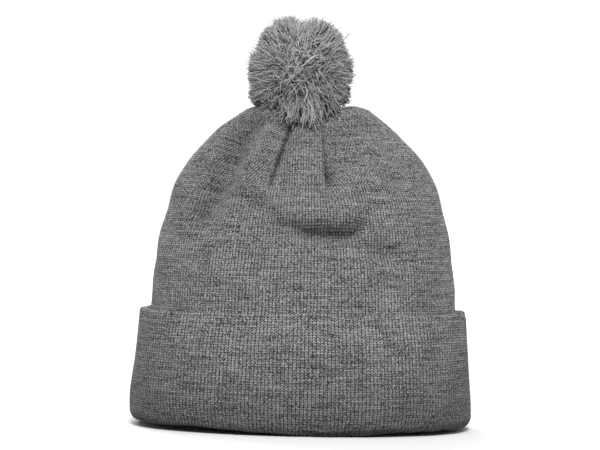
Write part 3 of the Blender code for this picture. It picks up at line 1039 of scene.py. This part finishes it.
def purl_knit(name, light, dark):
    """The inner face: rows of small loops."""
    nodes = Nodes(name, 0.95, Weight=0.2)
    _, leg, cell = stitch_pattern(nodes)
    fibre = nodes.noise(nodes.here(), 1500.0, 3.0)
    share = nodes.one_per_cell(cell) * 0.5 + fibre * 0.5
    colour = nodes.blend(nodes.spread(share, 0.15, 0.85), dark, light)
    # Painted shade at each loop's ends, between the loops
    nodes.set("Base Color", nodes.scaled(colour, nodes.spread(leg, 0.0, 0.7, 0.45, 1.0)))
    nodes.relief(leg + fibre * 0.4, 0.0004)
    return nodes.material


def strand_yarn(name, light, dark):
    """Two-ply pom pom yarn with a twist, a tone for each strand and flecks."""
    nodes = Nodes(name, 0.9, Weight=0.35, Tint=(0.8, 0.79, 0.78))
    around, along = nodes.own("X"), nodes.own("Y")
    plies, twist_per_metre = 2.0, 620.0
    ply = nodes.math("ABSOLUTE", nodes.math("SINE", (around * plies + along * twist_per_metre) * pi))
    fibre = nodes.noise(nodes.here(), 1300.0, 3.0)
    share = nodes.tone() * 0.55 + fibre * 0.6
    colour = nodes.blend(nodes.spread(share, 0.15, 0.95), dark, light)
    # Painted shade in the groove between the plies
    colour = nodes.scaled(colour, nodes.spread(ply, 0.0, 0.6, 0.62, 1.0))
    # Painted light towards the tips, which stand out of the ball's shade, and painted shade nearer the
    # roots
    painted_tip_light = nodes.spread(along, 0.020, 0.036, 0.86, 1.16)
    nodes.set("Base Color", nodes.scaled(colour, painted_tip_light))
    nodes.relief(ply + fibre * 0.5, 0.00025)
    return nodes.material


def plain_yarn(name, light, dark, twist):
    """Sewing thread and tie yarn: slanted plies around the piece, from its place in the hat."""
    nodes = Nodes(name, 0.85, Weight=0.2)
    here = nodes.here()
    diagonal = {"bands_direction": "DIAGONAL"}
    ply = nodes.add("TexWave", "Fac", diagonal, Vector=here, Scale=twist, Distortion=2.0)
    share = ply * 0.6 + nodes.noise(here, 1600.0) * 0.5
    nodes.set("Base Color", nodes.blend(nodes.spread(share, 0.1, 0.9), dark, light))
    nodes.relief(share, 0.0003)
    return nodes.material


def studio_floor():
    """White paper with the faintest grain."""
    nodes = Nodes("studio_floor", 0.9)
    grain = nodes.noise(nodes.here(), 3.0)
    nodes.set("Base Color", nodes.blend(grain, (0.48, 0.48, 0.48), (0.50, 0.50, 0.50)))
    return nodes.material


# ---- the object


def dress(piece, material, node, body="hat"):
    piece.data.materials.clear()
    piece.data.materials.append(material)
    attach(piece, body)
    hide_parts(node)


def stitch_area(piece, wale, course):
    """The area of a piece's stitches when it lies flat. Its UVs count wales and courses."""
    mesh = piece.data
    spots = np.empty(len(mesh.loops) * 2, np.float32)
    mesh.uv_layers["knit"].data.foreach_get("uv", spots)
    spots = spots.reshape(-1, 2).astype(float)
    start, total = np.empty(len(mesh.polygons), np.int32), np.empty(len(mesh.polygons), np.int32)
    mesh.polygons.foreach_get("loop_start", start)
    mesh.polygons.foreach_get("loop_total", total)
    first = spots[start + 2] - spots[start]
    second = spots[start + total - 1] - spots[start + 1]
    stitches = np.abs(first[:, 0] * second[:, 1] - first[:, 1] * second[:, 0]).sum() / 2
    return stitches * wale * course


SIDE_FLAT = (0.120, 0.205)
MIDDLE_FLAT = (0.042, 0.205)
INSIDE_FLAT = (0.560, 0.270)


def crown_panels():
    """Each panel of the crown with the rectangle that it is knitted in: three in front and three behind."""
    rows = crown_rows()
    for place in ("front", "back"):
        for hand in (-1, 1):
            yield side_panel(place, hand, rows), SIDE_FLAT
        yield middle_panel(place, rows), MIDDLE_FLAT


def make_crown():
    """The crown's panels and its inner face, as sheets. Darts and gathers cut into their rectangles."""
    yarn = heather_knit("heather_knit", (0.219, 0.219, 0.2185), (0.005, 0.005, 0.005), 1.0)
    purl = purl_knit("purl_knit", (0.20, 0.20, 0.20), (0.045, 0.045, 0.046))
    whole = INSIDE_FLAT[0] * (BODY_START - BODY_FOOT)  # the band of the crown behind the cuff
    for piece, flat in crown_panels():
        dress(piece, yarn, "knit_crown")
        area = stitch_area(piece, BODY_WALE, BODY_COURSE)
        whole += area
    inside = inner_face()
    dress(inside, purl, "knit_crown")


def make_cuff():
    yarn = heather_knit("heather_cuff", (0.219, 0.219, 0.2245), (0.005, 0.005, 0.0054), 0.66)
    for half, name in enumerate(("cuff_back", "cuff_front")):
        piece = cuff_piece(name, half)
        dress(piece, yarn, "turn_up_cuff")
        area = stitch_area(piece, CUFF_WALE, CUFF_COURSE)


def make_pom():
    yarn = strand_yarn("pom_strands", (0.290, 0.287, 0.284), (0.065, 0.065, 0.067))
    fuzz_yarn = strand_yarn("pom_fuzz", (0.42, 0.41, 0.40), (0.15, 0.15, 0.15))
    for piece in pom_pom():
        dress(piece, yarn, "pom_yarn", "pom")
    dress(pom_fuzz(), fuzz_yarn, "pom_yarn", "pom")


def make_seams():
    """Seam allowances inside the crown, following the cloth's folds."""
    thread = strand_yarn("overcast_seam", (0.17, 0.17, 0.172), (0.03, 0.03, 0.031))
    for place, hand in DARTS:
        side = "left" if hand < 0 else "right"
        path = dart_path(place, hand, rings=90)
        piece = seam_piece(f"seam_dart_{place}_{side}", *path, radius=0.0012)
        dress(piece, thread, f"dart_seam_{place}_{side}")
    u = np.linspace(0.03, 0.93, 420)
    piece = seam_piece("seam_back", u, np.full(len(u), pi / 2), radius=0.0013)
    dress(piece, thread, "back_seam")


def dress_cad_nodes():
    """The threads and the tie keep their CAD shapes, in twisted yarn."""
    thread = plain_yarn("sewing_thread", (0.13, 0.13, 0.132), (0.03, 0.03, 0.031), 700.0)
    tie = plain_yarn("tie_yarn", (0.24, 0.237, 0.235), (0.06, 0.06, 0.06), 420.0)
    for node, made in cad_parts.items():
        if node in ("knit_crown", "turn_up_cuff", "pom_yarn", "back_seam") or "dart_seam" in node:
            continue
        sewn = "seam" in node or node == "gather_thread"
        made.data.materials.clear()
        made.data.materials.append(thread if sewn else tie)


# ---- the studio


def soft_sun(name, towards, power, spread):
    """A large soft light far away in the direction given."""
    lamp = bpy.data.lights.new(name, "SUN")
    lamp.energy = power
    lamp.angle = radians(spread)
    placed(name, lamp).rotation_euler = Vector(towards).to_track_quat("Z", "Y").to_euler()


def make_studio():
    """A white floor without end under a white sky, a soft key light in front and a softer one behind."""
    half_width = 60.0
    corners = half_width * np.array([(-1, -1, 0), (1, -1, 0), (1, 1, 0), (-1, 1, 0)])
    floor = mesh_object("studio_floor", corners, [[0, 1, 2, 3]])
    floor.data.materials.append(studio_floor())
    world = bpy.data.worlds.new("studio")
    world.use_nodes = True
    sky = world.node_tree.nodes["Background"]
    sky.inputs["Color"].default_value = (1, 1, 1, 1)
    sky.inputs["Strength"].default_value = 1.0
    bpy.context.scene.world = world
    soft_sun("key", (0.04, -0.75, 0.68), 5.2, 18)
    soft_sun("back", (-0.30, 0.75, 0.70), 2.2, 40)
    bpy.context.scene.view_settings.view_transform = "Standard"


def make_camera():
    """Square on to the front, a little turned about its own axis, as the hat lies."""
    distance = 1.50
    frame_width = 0.396
    above_aim = 0.008
    roll = radians(1.15)
    lens = bpy.data.cameras.new("camera")
    lens.sensor_width = 36.0
    lens.lens = lens.sensor_width * distance / frame_width
    made = placed("camera", lens)
    aim = Vector((-0.0032, 0, 0.1325))
    spot = aim + Vector((0, -distance, above_aim))
    facing = (aim - spot).to_track_quat("-Z", "Y").to_matrix().to_4x4()
    made.matrix_world = Matrix.Translation(spot) @ facing @ Matrix.Rotation(roll, 4, "Z")
    bpy.context.scene.camera = made


make_camera()
make_crown()
make_cuff()
make_pom()
make_seams()
dress_cad_nodes()
make_studio()
